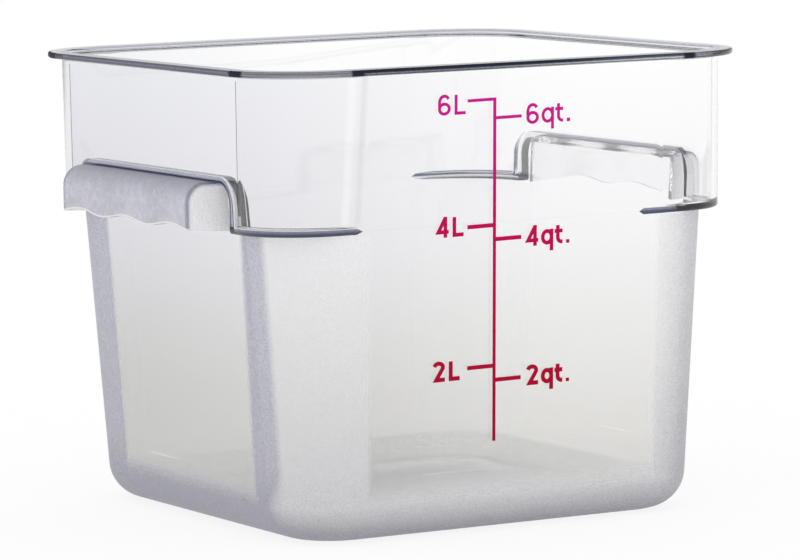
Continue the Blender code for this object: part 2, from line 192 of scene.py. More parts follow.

# The frost's painted light and shade by share of the ledge's height, darker to the foot: facing
# the eye, whiter high at the right, and in grey shade turned away at the left and at the right
FROST_FACING_PAINTED_SHADE = [
    (0.00, (0.22, 0.22, 0.245)),
    (0.035, (0.31, 0.31, 0.335)),
    (0.065, (0.48, 0.48, 0.505)),
    (0.12, (0.69, 0.69, 0.715)),
    (0.30, (0.72, 0.72, 0.735)),
    (1.00, (0.905, 0.90, 0.915)),
]
FROST_PAINTED_LIGHT = 0.3
FROST_PAINTED_LIGHT_SHARES = (0.3, 0.7)
FROST_LEFT_PAINTED_SHADE = [
    (0.02, (0.35, 0.345, 0.415)),
    (0.10, (0.41, 0.405, 0.48)),
    (0.25, (0.52, 0.515, 0.60)),
    (1.00, (0.59, 0.59, 0.69)),
]
FROST_RIGHT_PAINTED_SHADE = [
    (0.00, (0.28, 0.275, 0.32)),
    (0.037, (0.39, 0.385, 0.43)),
    (0.065, (0.48, 0.475, 0.52)),
    (0.15, (0.51, 0.505, 0.555)),
    (0.45, (0.62, 0.615, 0.65)),
    (1.00, (0.76, 0.755, 0.79)),
]

# The walls' tint by share of the height, warm grey low down, with painted shade at the left
# and painted light at the right, and the painted dark shade they turn to at a grazing angle
WALL_LEFT_LIGHT_AND_SHADE = [
    (0.00, (0.66, 0.655, 0.64)),
    (0.30, (0.69, 0.688, 0.683)),
    (0.62, (0.80, 0.795, 0.825)),
    (1.00, (0.87, 0.875, 0.905)),
]
WALL_RIGHT_LIGHT_AND_SHADE = [
    (0.00, (0.81, 0.805, 0.79)),
    (0.30, (0.89, 0.887, 0.877)),
    (0.62, (0.96, 0.96, 0.967)),
    (1.00, (1.0, 1.0, 1.0)),
]
WALL_TURN = (-0.120, 0.030)
GRAZING = (0.82, 0.97)
GRAZED_WALL_SHADE = (0.16, 0.17, 0.22, 1.0)

# The base edge from within, in painted shade, and the floor
FOOT_SHADE_WITHIN = (0.72, 0.72, 0.73, 1.0)
FOOT_WITHIN_TOP = (0.75 * BASE_FILLET, 0.90 * BASE_FILLET)
FLOOR_TINT = (0.93, 0.93, 0.95, 1.0)
FLOOR_TOP = (FLOOR + 0.0002, FLOOR + 0.0010)

# The edges of the ledges and arches, painted as dark lines of shade: how far out they start, of
# which the left counts only a share and the back this much less, and the band's skin and sides
PLATE_TAPER = (0.0560, 0.0582)
PLATE_LEFT_SHARE = 0.83
PLATE_BACK_LESS = 0.0105
PLATE_EDGE = (-0.0001, 0.0002)
BAND_SKIN_START = (-0.0012, -0.0008)
BAND_SKIN_END = (0.0002, 0.0004)
BAND_SIDE = (BAND_HALF_ACROSS - 0.004, BAND_HALF_ACROSS - 0.002)
STILE_TOP = (RECESS_TOP - 0.008, RECESS_TOP - 0.002)

# Their painted shade from foot to top by share of the edge: from outside, on the arches'
# sides, from within, and low at the back
NAVY = (0.002, 0.003, 0.016, 1.0)
PLATE_TOP = (0.06, 0.065, 0.10, 1.0)
PLATE_TOP_SHARES = (0.4, 0.9)
PLATE_SIDE = (0.20, 0.21, 0.28, 1.0)
PLATE_SIDE_SHARES = (0.35, 0.55)
PLATE_WITHIN = (0.66, 0.68, 0.74, 1.0)
PLATE_BACK = (0.002, 0.004, 0.016, 1.0)
PLATE_BACK_SHARES = (0.40, 0.55)

# The flange's edge in painted shade and light: its skin, its upper part, and its places along the
# front and corners
RIM_SKIN = (-0.0011, -0.0009)
RIM_UPPER_SHARES = (0.35, 0.60)
RIM_CORNER_START = (0.0, 0.0040)
RIM_FRONT_END = (-0.0020, 0.0020)
RIM_PALER = (-0.030, 0.080)
RIM_FAINTER = (0.010, 0.050)
RIM_FAINTER_SHARE = 0.5

# Its knots of painted dark shade: centre, core and end from where a corner starts; and its left
# tip
FRONT_KNOT = (0.0, 0.0018, 0.0038)
SIDE_KNOT = (0.0060, 0.0030, 0.0050)
SIDE_KNOT_END = (-0.050, 0.050)
TIP_FAR = (0.074, 0.078)
TIP_LEFT = (-0.100, -0.095)

# Its painted shade and light: the sides' top, the front's top and its foot from left to right, the
# corners from foot to top, the knots, and all of it from within
RIM_SIDE_TOP = (0.022, 0.023, 0.055, 1.0)
RIM_FRONT_TOP = (0.004, 0.009, 0.026, 1.0)
RIM_FRONT_LEFT = (0.035, 0.037, 0.050, 1.0)
RIM_FRONT_RIGHT = (0.34, 0.345, 0.38, 1.0)
RIM_CORNER_SHADES = [
    (0.0, (0.35, 0.35, 0.38)),
    (0.3, (0.10, 0.10, 0.12)),
    (0.6, (0.015, 0.015, 0.028)),
    (1.0, (0.12, 0.12, 0.14)),
]
RIM_KNOT_SHADE = (0.002, 0.006, 0.022, 1.0)
RIM_WITHIN = (0.62, 0.64, 0.70, 1.0)

# The flange's width as seen on its far sides, in painted grey shade
FLANGE_WIDTH = (0.0005, 0.0012)
FLANGE_SHADE = (0.52, 0.52, 0.55, 1.0)

# A painted dark line of shade for the crease where the band's sides meet its rounded corners:
# centre, core and end, skin and fade
CREASE = (0.0, 0.00016, 0.00036)
CREASE_SKIN = (-0.0006, -0.0003)
CREASE_FADE = 0.0010
CREASE_SHADE = (0.008, 0.008, 0.03, 1.0)

# The upright strips of the band's front, a painted highlight and a painted grey shade: their ends
# from where the left corner starts
HIGHLIGHT_STRIP = (-0.0036, -0.0010)
HIGHLIGHT_STRIP_SHARE = 0.45
SHADE_STRIP = (-0.0085, -0.0068)
SHADE_STRIP_SHARE = 0.5
SHADE_STRIP_COLOUR = (0.72, 0.72, 0.76, 1.0)
STRIP_FADE = 0.0008

# The straight lines to write on, moulded low on three walls: height, and both ends
SIDE_LINE_HEIGHT = 0.0240
FRONT_LINE_HEIGHT = 0.0250
LEFT_LINE = (0.0090, 0.0310)
RIGHT_LINE = (-0.0340, -0.0100)
FRONT_LINE = (-0.0400, -0.0110)
LINE_HALF_WIDTH = 0.0002
LINE_FADE = 0.0004
LINE_COLOUR = (0.98, 0.98, 0.98, 1.0)

# A grip's skirt: its patches and the painted shade that the waves add to them, the painted grey
# shade under its root, the root's painted dark shade, the rounded ends' painted shade (start, end
# and fade) and the painted highlight of the light lower edge (the same)
PATCH_GRAIN = (0.30, 0.70)
WAVE_SHADE = 0.10
SKIRT_DARKER = (0.575, 0.57, 0.65, 1.0)
SKIRT_PALER = (0.67, 0.665, 0.74, 1.0)
UNDER_ROOT = (GRIP_TOP - 0.0080, GRIP_TOP - 0.0015)
UNDER_ROOT_SHARE = 0.45
UNDER_ROOT_SHADE = (0.46, 0.46, 0.56, 1.0)
ROOT_WIDTH = (0.1068, 0.1105)
ROOT_TOP = (GRIP_TOP - 0.0012, GRIP_TOP - 0.0004)
ROOT_SHADE = (0.05, 0.05, 0.14, 1.0)
SKIRT_END = (GRIP_HALF - 0.0018, GRIP_HALF - 0.0010, 0.0012)
SKIRT_END_SHARE = 0.7
SKIRT_END_SHADE = (0.30, 0.30, 0.40, 1.0)
LOWER_EDGE = (0.0001, 0.0006, 0.0002)
LOWER_EDGE_HIGHLIGHT = (0.93, 0.93, 0.95, 1.0)
GRIP_WITHIN = (0.97, 0.97, 0.97, 1.0)

# A grip's flat end, the painted shade of its edge, and how much milkier than the skirt it is
END_COLOUR = (0.98, 0.98, 0.9996, 1.0)
END_EDGE = (-0.0022, -0.0006)
END_EDGE_SHARE = 0.8
END_EDGE_SHADE = (0.48, 0.48, 0.58, 1.0)
END_COVER = 1.5

# The ink by share of the height
INK_SHADES = [
    (0.15, (0.31, 0.002, 0.020)),
    (0.45, (0.45, 0.001, 0.040)),
    (0.70, (0.54, 0.002, 0.090)),
    (0.90, (0.60, 0.010, 0.260)),
]
INK_ROUGHNESS = 0.5
INK_GLOSS = 0.05

# The numbers of the sockets that a Mix node uses for colours
MIX_FACTOR = 0
MIX_NONE = 6
MIX_FULL = 7
MIX_RESULT = 2


class Wire:
    """A shader socket that can be written into sums and products."""

    def __init__(self, tree, socket=None):
        self.tree = tree
        self.socket = socket

    def add(self, kind, settings=None, inputs=None, output=0):
        """A new node with these settings and inputs, as the wire of one of its outputs."""
        node = self.tree.nodes.new(kind)
        for name, value in (settings or {}).items():
            if name == "stops":
                set_stops(node.color_ramp, value)
            else:
                setattr(node, name, value)
        for name, value in (inputs or {}).items():
            if isinstance(value, Wire):
                self.tree.links.new(value.socket, node.inputs[name])
            else:
                node.inputs[name].default_value = value
        return Wire(self.tree, node.outputs[output])

    def lead(self, socket):
        """Runs this wire into a socket."""
        self.tree.links.new(self.socket, socket)

    def maths(self, operation, *terms):
        return self.add("ShaderNodeMath", {"operation": operation}, dict(enumerate(terms)))

    def __add__(self, other):
        return self.maths("ADD", self, other)

    def __radd__(self, other):
        return self.maths("ADD", other, self)

    def __sub__(self, other):
        return self.maths("SUBTRACT", self, other)

    def __rsub__(self, other):
        return self.maths("SUBTRACT", other, self)

    def __mul__(self, other):
        return self.maths("MULTIPLY", self, other)

    def __rmul__(self, other):
        return self.maths("MULTIPLY", other, self)

    def __pow__(self, power):
        return self.maths("POWER", self, power)

    def __neg__(self):
        return self.maths("MULTIPLY", self, -1.0)

    def __abs__(self):
        return self.maths("ABSOLUTE", self)

    def cosine(self):
        return self.maths("COSINE", self)

    def larger(self, other):
        return self.maths("MAXIMUM", self, other)

    def smaller(self, other):
        return self.maths("MINIMUM", self, other)

    def ramp(self, low, high):
        """0 below low, 1 above high and smooth between them."""
        settings = {"interpolation_type": 'SMOOTHSTEP'}
        inputs = {"Value": self, "From Min": low, "From Max": high}
        return self.add("ShaderNodeMapRange", settings, inputs)

    def near(self, centre, core, edge):
        """1 within core of a value, 0 from edge on."""
        return 1.0 - abs(self - centre).ramp(core, edge)

    def between(self, low, high, edge):
        """1 between two values, with an edge that fades this far outside them."""
        return self.ramp(low - edge, low) * (1.0 - self.ramp(high, high + edge))

    def mix(self, none, full):
        """A colour between two colours, or wires, at this share of the second."""
        inputs = {MIX_FACTOR: self, MIX_NONE: none, MIX_FULL: full}
        return self.add("ShaderNodeMix", {"data_type": 'RGBA'}, inputs, MIX_RESULT)

    def shades(self, stops):
        """A colour that follows these stops of value and colour."""
        return self.add("ShaderNodeValToRGB", {"stops": stops}, {"Fac": self})


def set_stops(ramp, stops):
    while len(ramp.elements) < len(stops):
        ramp.elements.new(0.5)
    for element, (place, colour) in zip(ramp.elements, stops):
        element.position = place
        element.color = colour + (1.0,)


def make_camera():
    azimuth, elevation, roll = (
        math.radians(angle) for angle in (CAMERA_AZIMUTH, CAMERA_ELEVATION, CAMERA_ROLL)
    )
    away = Vector((
        math.sin(azimuth) * math.cos(elevation),
        -math.cos(azimuth) * math.cos(elevation),
        math.sin(elevation),
    ))
    level_right = Vector((math.cos(azimuth), math.sin(azimuth), 0.0))
    level_up = away.cross(level_right)
    right = math.cos(roll) * level_right + math.sin(roll) * level_up
    up = away.cross(right)
    place = Vector((0.0, 0.0, TARGET_HEIGHT)) + CAMERA_DISTANCE * away + CAMERA_SIDE_STEP * right
    data = bpy.data.cameras.new("camera")
    data.sensor_width = SENSOR_MM
    data.lens = LENS_PIXELS * SENSOR_MM / PHOTO_WIDTH
    data.shift_x = (PHOTO_WIDTH / 2 - AXIS_PIXEL[0]) / PHOTO_WIDTH
    data.shift_y = (AXIS_PIXEL[1] - PHOTO_HEIGHT / 2) / PHOTO_WIDTH
    data.clip_end = CLIP_END
    camera = bpy.data.objects.new("camera", data)
    turn = Matrix((right, up, away)).transposed().to_4x4()
    camera.matrix_world = Matrix.Translation(place) @ turn
    bpy.context.scene.collection.objects.link(camera)
    bpy.context.scene.camera = camera


def make_world():
    """A white studio whose ceiling is seen darker in reflections and through the plastic."""
    world = bpy.data.worlds.new("studio")
    world.use_nodes = True
    tree = world.node_tree
    tree.nodes.clear()
    wire = Wire(tree)
    path = tree.nodes.new("ShaderNodeLightPath")
    camera, glossy, through, softened = (Wire(tree, path.outputs[name]) for name in (
        "Is Camera Ray", "Is Glossy Ray", "Is Transmission Ray", "Diffuse Depth"))
    sharp = glossy.larger(through) * (1.0 - softened.ramp(*SOFT_BOUNCES))
    direction = wire.add("ShaderNodeTexCoord", output="Generated")
    rise = wire.add("ShaderNodeSeparateXYZ", None, {"Vector": direction}, "Z")
    studio = rise.ramp(*CEILING_RISE).mix(WHITE, CEILING)
    studio = (glossy * rise.ramp(*GLOSS_RISE)).mix(studio, GLOSS_CEILING)
    colour = camera.mix(sharp.mix(WHITE, studio), WHITE)
    background = wire.add("ShaderNodeBackground", None, {"Color": colour, "Strength": 1.0})
    output = tree.nodes.new("ShaderNodeOutputWorld")
    background.lead(output.inputs["Surface"])
    bpy.context.scene.world = world


def make_floor():
    mesh = bpy.data.meshes.new("floor")
    corners = [(across * FLOOR_HALF, along * FLOOR_HALF, 0.0)
               for across, along in ((-1, -1), (1, -1), (1, 1), (-1, 1))]
    mesh.from_pydata(corners, [], [(0, 1, 2, 3)])
    floor = bpy.data.objects.new("floor", mesh)
    floor.location = (0.0, 0.0, -FLOOR_GAP)
    bpy.context.scene.collection.objects.link(floor)
    material = bpy.data.materials.new("white_floor")
    material.use_nodes = True
    tree = material.node_tree
    tree.nodes.clear()
    wire = Wire(tree)
    matt = wire.add("ShaderNodeBsdfDiffuse", None, {"Color": WHITE})
    glow = wire.add("ShaderNodeEmission", None, {"Color": WHITE, "Strength": 1.0})
    both = wire.add("ShaderNodeMixShader", None, {0: FLOOR_GLOW, 1: matt, 2: glow})
    output = tree.nodes.new("ShaderNodeOutputMaterial")
    both.lead(output.inputs["Surface"])
    mesh.materials.append(material)


def body_section(height, inset):
    """Half sizes and corner radius of the tapered body at a height, drawn in by an inset."""
    drop = LEDGE_HEIGHT - height
    return (
        BODY_HALF_ACROSS - BODY_SLOPE * drop - inset,
        FRONT_HALF_AT_RIM - FRONT_SLOPE * (HEIGHT - height) - inset,
        BODY_CORNER - (BODY_SLOPE + FRONT_SLOPE) / 2 * drop - inset,
        height,
    )


def band_section(height, inset):
    """The same of the wider band above the ledge."""
    drop = HEIGHT - height
    return (
        BAND_HALF_ACROSS - BAND_SLOPE * drop - inset,
        FRONT_HALF_AT_RIM - FRONT_SLOPE * drop - BAND_SET_BACK - inset,
        BAND_CORNER - BAND_CORNER_SHARE * drop - inset,
        height,
    )


def rounded_rectangle(half_x, half_y, radius, height):
    points = []
    for quarter in range(4):
        start = quarter * math.pi / 2
        middle_x = math.copysign(half_x - radius, math.cos(start + math.pi / 4))
        middle_y = math.copysign(half_y - radius, math.sin(start + math.pi / 4))
        for step in range(CORNER_STEPS + 1):
            angle = start + step * math.pi / 2 / CORNER_STEPS
            points.append((
                middle_x + radius * math.cos(angle),
                middle_y + radius * math.sin(angle),
                height,
            ))
    return points


def quarter_round(radius, steps):
    """Rises and insets along a rounded edge, from its foot to its full width."""
    pairs = []
    for step in range(steps + 1):
        angle = step * math.pi / 2 / steps
        pairs.append((radius * (1 - math.cos(angle)), radius * (1 - math.sin(angle))))
    return pairs


def solid(name, rings):
    """A closed mesh through rings of points, with a flat face at each end."""
    builder = bmesh.new()
    rows = [[builder.verts.new(point) for point in ring] for ring in rings]
    count = len(rows[0])
    for lower, upper in zip(rows, rows[1:]):
        for index in range(count):
            after = (index + 1) % count
            builder.faces.new((lower[index], lower[after], upper[after], upper[index]))
    builder.faces.new(list(reversed(rows[0])))
    builder.faces.new(rows[-1])
    bmesh.ops.recalc_face_normals(builder, faces=builder.faces)
    mesh = bpy.data.meshes.new(name)
    builder.to_mesh(mesh)
    builder.free()
    made = bpy.data.objects.new(name, mesh)
    bpy.context.scene.collection.objects.link(made)
    return made


def loft(name, sections):
    return solid(name, [rounded_rectangle(*section) for section in sections])


def body_blank(name, floor, wall, top):
    """The tapered body's outside, or its inside where a wall is given."""
    radius = BASE_FILLET - wall
    sections = [body_section(floor + rise, wall + inset)
                for rise, inset in quarter_round(radius, FILLET_STEPS)]
    sections.append(body_section(top, wall))
    return loft(name, sections)


def band_blank(name, foot, wall, top):
    """The band's outside with the round under the flange, or its inside."""
    sections = [band_section(foot + rise, wall + inset)
                for rise, inset in quarter_round(LEDGE_EDGE, EDGE_STEPS)]
    if wall:
        sections.append(band_section(top, wall))
        return loft(name, sections)
    under = HEIGHT - RIM_THICKNESS
    for rise, inset in reversed(quarter_round(UNDER_RIM_ROUND, EDGE_STEPS)):
        sections.append(band_section(under - rise, -inset))
    sections.append(band_section(top, -UNDER_RIM_ROUND))
    return loft(name, sections)


def rim_plate():
    edge = quarter_round(RIM_EDGE, EDGE_STEPS)
    levels = [(HEIGHT - RIM_THICKNESS + rise, inset) for rise, inset in edge]
    levels += [(HEIGHT - rise, inset) for rise, inset in reversed(edge)]
    return loft("rim_plate", [(RIM_HALF - inset, RIM_HALF - inset, RIM_CORNER - inset, level)
                              for level, inset in levels])


def rim_flare():
    """Takes the inner edge off the rim's top face."""
    sections = []
    for rise in (-OVERRUN, OVERRUN):
        inset = WALL - rise
        sections.append((BAND_HALF_ACROSS - inset, FRONT_HALF_AT_RIM - inset,
                         BAND_CORNER - inset, HEIGHT - RIM_INNER_EDGE + rise))
    return loft("rim_flare", sections)


def arch(name, side, grown):
    """A block across one grip side with two rounded upper corners, grown all round."""
    half = RECESS_HALF + grown
    top = RECESS_TOP + grown
    corner = RECESS_CORNER + grown
    foot = LEDGE_HEIGHT - OVERRUN
    outline = [(-half, foot), (half, foot)]
    for start, middle in ((0.0, half - corner), (math.pi / 2, corner - half)):
        for step in range(GRIP_STEPS + 1):
            angle = start + step * math.pi / 2 / GRIP_STEPS
            outline.append((middle + corner * math.cos(angle),
                            top - corner + corner * math.sin(angle)))
    near = BODY_HALF_ACROSS - BAND_CORNER
    far = BAND_HALF_ACROSS + OVERRUN
    return solid(name, [[(side * x, y, z) for y, z in outline] for x in (near, far)])


def wave(y):
    """1 at the crest of each finger wave and 0 at the points between them."""
    return (1 + math.cos(2 * math.pi * y / WAVE_PITCH)) / 2


def grip_profile(side, y, inset, flute, foot):
    """A grip's cut across at a depth, drawn in by an inset and by a flute on its outside."""
    radius = GRIP_ROUND - inset
    middle_x = GRIP_OUT - GRIP_ROUND - flute
    middle_z = GRIP_TOP - GRIP_ROUND
    root = BODY_HALF_ACROSS - GRIP_ROOT
    outline = [(root, foot), (middle_x + radius, foot)]
    for step in range(GRIP_STEPS + 1):
        angle = step * math.pi / 2 / GRIP_STEPS
        outline.append((middle_x + radius * math.cos(angle), middle_z + radius * math.sin(angle)))
    outline.append((root, GRIP_TOP - inset))
    return [(side * x, y, z) for x, z in outline]


def grip_block(name, side, wall):
    """A grip's fluted outside with rounded ends, or its plain inside where a wall is given."""
    half = GRIP_HALF - wall
    foot = LEDGE_HEIGHT - (2 * OVERRUN if wall else OVERRUN)
    if wall:
        return solid(name, [grip_profile(side, y, wall, 0.0, foot) for y in (-half, half)])
    stations = [(-half + rise, inset) for rise, inset in quarter_round(GRIP_END_ROUND, EDGE_STEPS)]
    between = 2 * (half - GRIP_END_ROUND)
    count = round(between / GRIP_STATION)
    stations += [(-between / 2 + step * between / count, 0.0) for step in range(1, count)]
    stations += [(half - rise, inset)
                 for rise, inset in reversed(quarter_round(GRIP_END_ROUND, EDGE_STEPS))]
    return solid(name, [grip_profile(side, y, inset, FLUTE_DEPTH * wave(y), foot)
                        for y, inset in stations])


def grip_edge(x):
    """The height of a grip's lower edge, which rises outward."""
    slope = GRIP_EDGE_RISE / (GRIP_OUT - BODY_HALF_ACROSS)
    return LEDGE_HEIGHT + slope * (x - BODY_HALF_ACROSS)


def wave_trim(name, side):
    """A block below a grip whose waved top cuts the grip's lower edge."""
    end = GRIP_HALF + OVERRUN
    count = round(2 * end / GRIP_STATION)
    rings = []
    for x in (BODY_HALF_ACROSS - GRIP_ROOT - OVERRUN, GRIP_OUT + OVERRUN):
        outline = []
        for step in range(count + 1):
            y = -end + 2 * end * step / count
            outline.append((side * x, y, grip_edge(x) + WAVE_DEPTH * wave(y)))
        floor = LEDGE_HEIGHT - 4 * OVERRUN
        outline += [(side * x, end, floor), (side * x, -end, floor)]
        rings.append(outline)
    return solid(name, rings)


def boolean(target, operation, other):
    modifier = target.modifiers.new(other.name, 'BOOLEAN')
    modifier.operation = operation
    modifier.solver = 'EXACT'
    modifier.object = other


def tub_mesh():
    """The tub's moulding, finer than the solid, as one mesh."""
    top = HEIGHT - RIM_THICKNESS / 2
    body = body_blank("tub_blank", 0.0, 0.0, top)
    band = band_blank("band", LEDGE_HEIGHT, 0.0, top)
    hollow = body_blank("hollow", FLOOR, WALL, HEIGHT + OVERRUN)
    band_hollow = band_blank("band_hollow", LEDGE_HEIGHT + WALL, WALL, HEIGHT + OVERRUN)
    rim = rim_plate()
    flare = rim_flare()
    grips = []
    guides = [band, hollow, band_hollow, rim, flare]
    for side, word in ((-1, "left"), (1, "right")):
        recess = arch("recess_" + word, side, 0.0)
        inner_recess = arch("inner_recess_" + word, side, WALL)
        boolean(band, 'DIFFERENCE', recess)
        boolean(band_hollow, 'DIFFERENCE', inner_recess)
        grip = grip_block("grip_" + word, side, 0.0)
        inside = grip_block("grip_hollow_" + word, side, GRIP_WALL)
        trim = wave_trim("wave_trim_" + word, side)
        boolean(grip, 'DIFFERENCE', inside)
        boolean(grip, 'DIFFERENCE', trim)
        grips.append(grip)
        guides += [recess, inner_recess, grip, inside, trim]
    for piece in [band, rim] + grips:
        boolean(body, 'UNION', piece)
    for piece in (hollow, band_hollow, flare):
        boolean(body, 'DIFFERENCE', piece)
    depsgraph = bpy.context.evaluated_depsgraph_get()
    mesh = bpy.data.meshes.new_from_object(body.evaluated_get(depsgraph))
    for guide in [body] + guides:
        bpy.data.objects.remove(guide)
    return mesh


def zone(centre, normal):
    """The material slot of a face of the tub."""
    x, y, z = abs(centre.x), abs(centre.y), centre.z
    outward = normal.x * centre.x + normal.y * centre.y > 0
    if x < BAND_HALF_ACROSS + ZONE_GAP or z > GRIP_TOP + ZONE_GAP:
        return WALL_SLOT
    if abs(normal.y) > END_TURN:
        return END_SLOT if y > GRIP_HALF - END_DEPTH else WALL_SLOT
    return SKIRT_SLOT if outward or normal.z > SKIRT_TURN else WALL_SLOT


def make_tub():
    mesh = tub_mesh()
    mesh.name = "clear_tub"
    tub = bpy.data.objects.new("clear_tub", mesh)
    bpy.context.scene.collection.objects.link(tub)
    mesh.materials.clear()
    for material in (tub_plastic(), grip_plastic(), grip_end_plastic()):
        mesh.materials.append(material)
    for face in mesh.polygons:
        face.material_index = zone(face.center, face.normal)
    mesh.shade_smooth()
    mesh.set_sharp_from_angle(angle=math.radians(SHARP_ANGLE))
    weights = tub.modifiers.new("even_shading", 'WEIGHTED_NORMAL')
    weights.keep_sharp = True
    weights.weight = LARGE_FACE_PULL
    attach(tub, "root")
    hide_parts("container_body")


def place(wire):
    """The object's own x, y and z in metres, as wires."""
    spot = wire.add("ShaderNodeTexCoord", output="Object")
    return [wire.add("ShaderNodeSeparateXYZ", None, {"Vector": spot}, axis) for axis in "XYZ"]


def outline_distance(across, up, half, top, corner):
    """How far a spot lies outside a rounded outline about the origin."""
    side = across - (half - corner)
    rise = up - (top - corner)
    off_side = side.larger(0.0)
    off_rise = rise.larger(0.0)
    outside = (off_side * off_side + off_rise * off_rise) ** 0.5
    return outside + side.larger(rise).smaller(0.0) - corner


class Spot:
    """Where a spot of the tub lies: its place, and how it lies to the band and the body."""

    def __init__(self, wire):
        self.x, self.y, self.z = place(wire)
        self.wide = abs(self.x)
        self.deep = abs(self.y)
        self.inner = wire.add("ShaderNodeNewGeometry", output="Backfacing")
        self.outer = 1.0 - self.inner
        self.facing = wire.add("ShaderNodeLayerWeight", None, {"Blend": 0.5}, "Facing")
        drop = HEIGHT - self.z
        self.band_half = BAND_HALF_ACROSS - BAND_SLOPE * drop
        self.band_front = FRONT_HALF_AT_RIM - BAND_SET_BACK - FRONT_SLOPE * drop
        self.band_corner = BAND_CORNER - BAND_CORNER_SHARE * drop
        self.on_band = outline_distance(
            self.wide, self.deep, self.band_half, self.band_front, self.band_corner)
        fall = LEDGE_HEIGHT - self.z
        half_x = BODY_HALF_ACROSS - BODY_SLOPE * fall
        half_y = FRONT_HALF_AT_RIM - FRONT_SLOPE * drop
        corner = BODY_CORNER - (BODY_SLOPE + FRONT_SLOPE) / 2 * fall
        self.off_wall = outline_distance(self.wide, self.deep, half_x, half_y, corner)
        base_edge = outline_distance(self.off_wall, -self.z, 0.0, 0.0, BASE_FILLET)
        self.skin = base_edge.ramp(*SKIN)
        self.past_x = self.wide - (half_x - corner)
        self.past_y = self.deep - (half_y - corner)

    def off_floor(self):
        """0 over the flat floor and 1 over the rounded edge about it."""
        return (self.off_wall + BASE_FILLET).ramp(*FLOOR_EDGE)

    def above_ledge(self):
        return self.z.ramp(LEDGE_HEIGHT + WALL, LEDGE_HEIGHT + 2 * WALL)

    def at_rim(self):
        return self.z.ramp(HEIGHT - 2 * RIM_THICKNESS, HEIGHT - 1.5 * RIM_THICKNESS)


def frost_cover(spot):
    """How much fine frost a spot has: all on the lower corners and base edge outside."""
    near_run = FROST_RUN + FROST_RUN_SLOPE * (LEDGE_HEIGHT - spot.z)
    back = spot.y.ramp(*MIDDLE)
    past_y = spot.past_y + near_run + (TEXTURE_OVERLAP - near_run) * back
    corner = spot.past_x.smaller(past_y).ramp(*FROST_EDGE)
    foot = (1.0 - spot.z.ramp(*FROST_FOOT)) * spot.off_floor()
    below = 1.0 - spot.z.ramp(*FROST_TOP)
    return corner.larger(foot) * spot.skin * below


def frost_colour_and_shade(spot, value):
    """The frost's colour, with painted shade: pale where it faces the eye, grey violet where it
    turns away and dark at its foot, and painted light whiter high at the right.
    """
    height = spot.z * (1 / LEDGE_HEIGHT)
    right_side = spot.x.ramp(*RIGHT_SIDE)
    start = TURN_START - TURN_SOONER_RIGHT * right_side
    width = TURN_WIDTH_FOOT - TURN_NARROWER_ABOVE * spot.z.ramp(*TURN_ABOVE)
    width = width + (TURN_WIDTH_RIGHT - width) * right_side
    # Painted grey shade where the frost turns away, and painted light whitening it high at the
    # right
    turned = (spot.facing - start).ramp(0.0, width) * spot.outer
    painted_light = right_side * height.ramp(*FROST_PAINTED_LIGHT_SHARES) * FROST_PAINTED_LIGHT
    flat = painted_light.mix(height.shades(FROST_FACING_PAINTED_SHADE), WHITE)
    left = height.shades(FROST_LEFT_PAINTED_SHADE)
    right = height.shades(FROST_RIGHT_PAINTED_SHADE)
    away = spot.x.ramp(*LEFT_SIDE).mix(left, right)
    depth = SPECKS_FOOT - SPECKS_LESS_ABOVE * height.ramp(*SPECKS_ABOVE_SHARES)
    return speckled(turned.mix(flat, away), value, depth + (SPECKS_TURNED - depth) * turned)


def grain(wire, scale):
    """Noise over the object's own metres."""
    spot = wire.add("ShaderNodeTexCoord", output="Object")
    return wire.add("ShaderNodeTexNoise", None, {"Vector": spot, "Scale": scale, "Detail": 1.0})


def speckled(colour, value, depth):
    """A colour with darker specks where the grain is low."""
    return ((1.0 - value.ramp(*SPECK_GRAIN)) * depth).mix(colour, BLACK)


def plastic(name):
    """A clear plastic's material, its shader and a wire to build its nodes on."""
    material = bpy.data.materials.new(name)
    material.use_nodes = True
    shader = material.node_tree.nodes["Principled BSDF"]
    shader.inputs["Roughness"].default_value = POLISHED
    shader.inputs["IOR"].default_value = REFRACTION
    shader.inputs["Transmission Weight"].default_value = 1.0
    return material, shader, Wire(material.node_tree)


def frosted_finish(spot, cover):
    """The roughness of plastic with this cover of frost, less of it seen from within."""
    frosted = FROSTED + (FROSTED_WITHIN - FROSTED) * spot.inner
    return POLISHED + (frosted - POLISHED) * cover


def lay_frost(wire, shader, spot, colour, value, cover, opaque=0.0):
    """Lays frost on a clear plastic: matt seen from outside, lit through seen from within."""
    strength = BUMP_STRENGTH * cover * spot.outer
    bump = wire.add("ShaderNodeBump", None,
                    {"Strength": strength, "Distance": BUMP_DEPTH, "Height": value})
    bump.lead(shader.inputs["Normal"])
    matt = wire.tree.nodes.new("ShaderNodeBsdfPrincipled")
    matt.inputs["Roughness"].default_value = MATT_ROUGHNESS
    matt.inputs["Specular IOR Level"].default_value = MATT_GLOSS
    colour.lead(matt.inputs["Base Color"])
    bump.lead(matt.inputs["Normal"])
    lit = wire.add("ShaderNodeBsdfTranslucent", None, {"Color": WHITE})
    outside = Wire(wire.tree, matt.outputs["BSDF"])
    milk = wire.add("ShaderNodeMixShader", None, {0: spot.inner, 1: outside, 2: lit})
    clear = Wire(wire.tree, shader.outputs["BSDF"])
    share = cover * (MILK_OUTSIDE + (MILK_WITHIN - MILK_OUTSIDE) * spot.inner)
    share = share.larger(opaque)
    both = wire.add("ShaderNodeMixShader", None, {0: share, 1: clear, 2: milk})
    both.lead(wire.tree.nodes["Material Output"].inputs["Surface"])


def wall_tint_and_shade(spot):
    """The walls' faint colour, warm grey low down; painted light at the right, painted shade at
    the left and at a grazing angle.
    """
    height = spot.z * (1 / HEIGHT)
    left = height.shades(WALL_LEFT_LIGHT_AND_SHADE)
    right = height.shades(WALL_RIGHT_LIGHT_AND_SHADE)
    # Painted shade at the left and painted light at the right, then painted dark shade at grazing
    colour = spot.x.ramp(*WALL_TURN).mix(left, right)
    graze = spot.facing.ramp(*GRAZING) * spot.outer
    return graze.mix(colour, GRAZED_WALL_SHADE)


